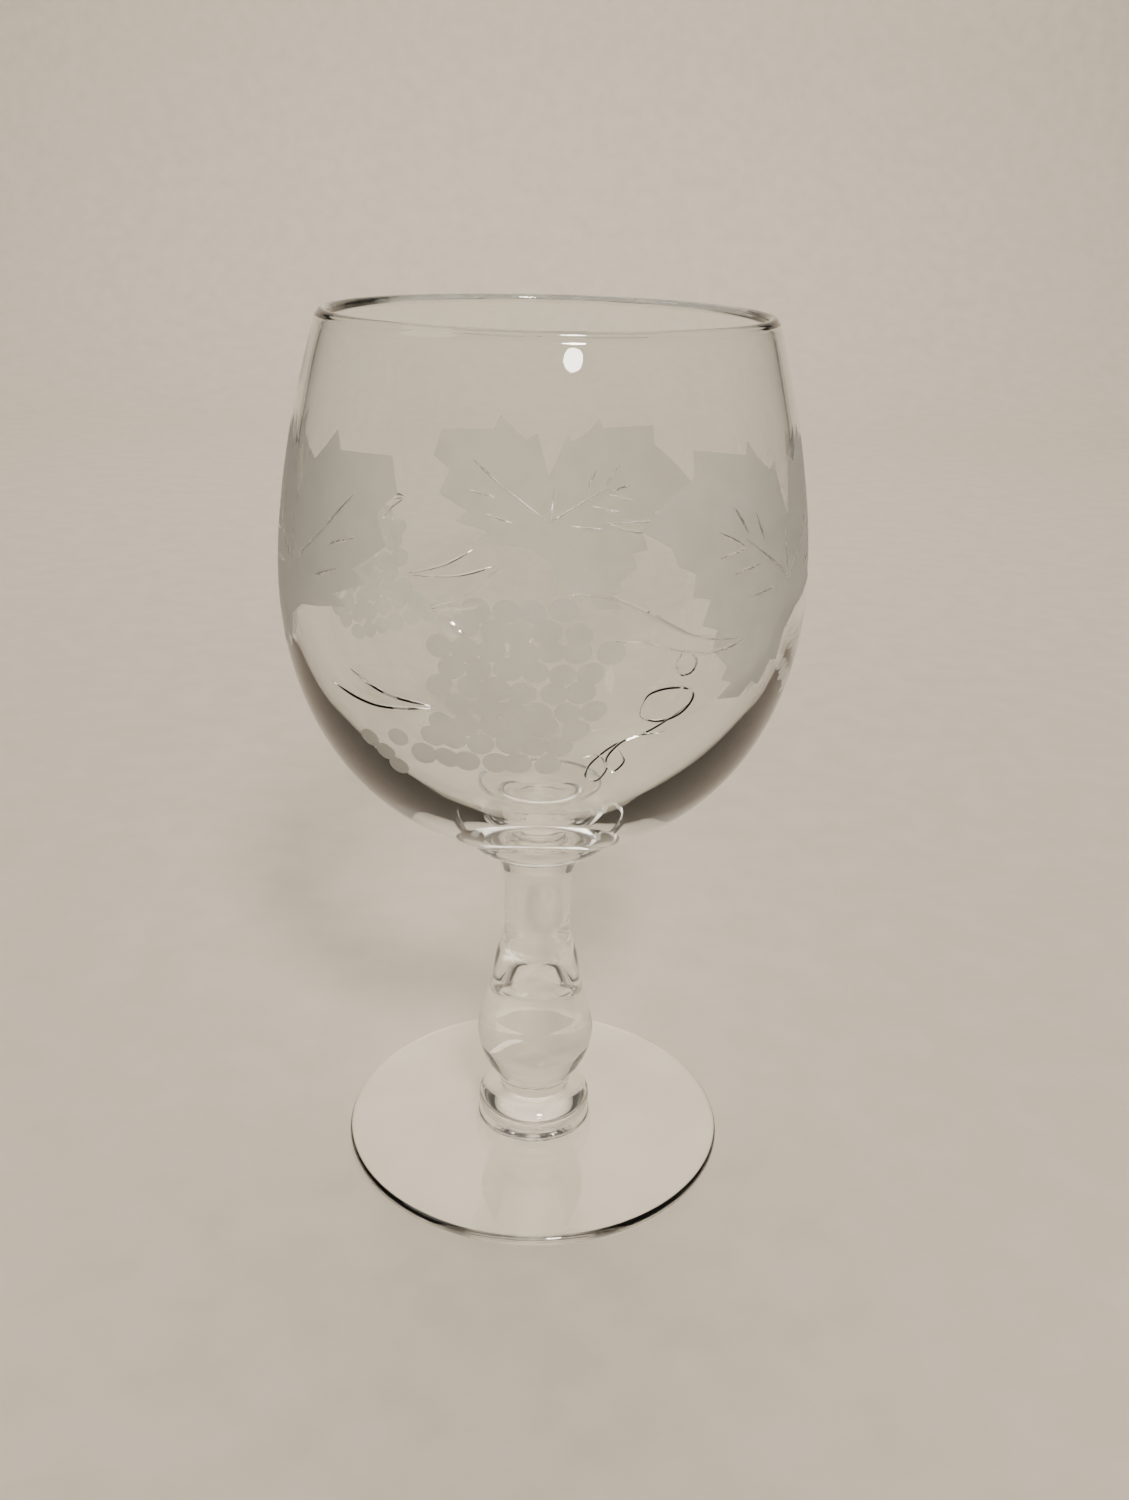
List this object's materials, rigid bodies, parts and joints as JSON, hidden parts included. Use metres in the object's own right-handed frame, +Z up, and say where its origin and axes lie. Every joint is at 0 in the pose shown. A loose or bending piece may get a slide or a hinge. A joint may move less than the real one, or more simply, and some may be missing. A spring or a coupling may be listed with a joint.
{
  "type": "wine glass",
  "caption": "Stemmed wine goblet in clear glass: balloon bowl with fire-polished rim, flared seat, baluster stem, collar knop and thin round foot.",
  "frame": {"origin": "centre of the foot's underside, on the surface that the glass stands on", "axes": "+Z up along the axis of the glass, from foot to rim; the grape bunch faces -Y"},
  "size_m": [0.0826, 0.0826, 0.145],
  "materials": {
    "bowl_glass": "clear polished glass, frosted where the grapevine decoration is cut",
    "stem_glass": "clear polished solid glass",
    "foot_glass": "clear polished glass"
  },
  "bodies": {
    "root": {"bowl": "bowl_glass", "bowl_seat": "stem_glass", "stem": "stem_glass", "collar": "stem_glass", "foot": "foot_glass"}
  },
  "joints": []
}
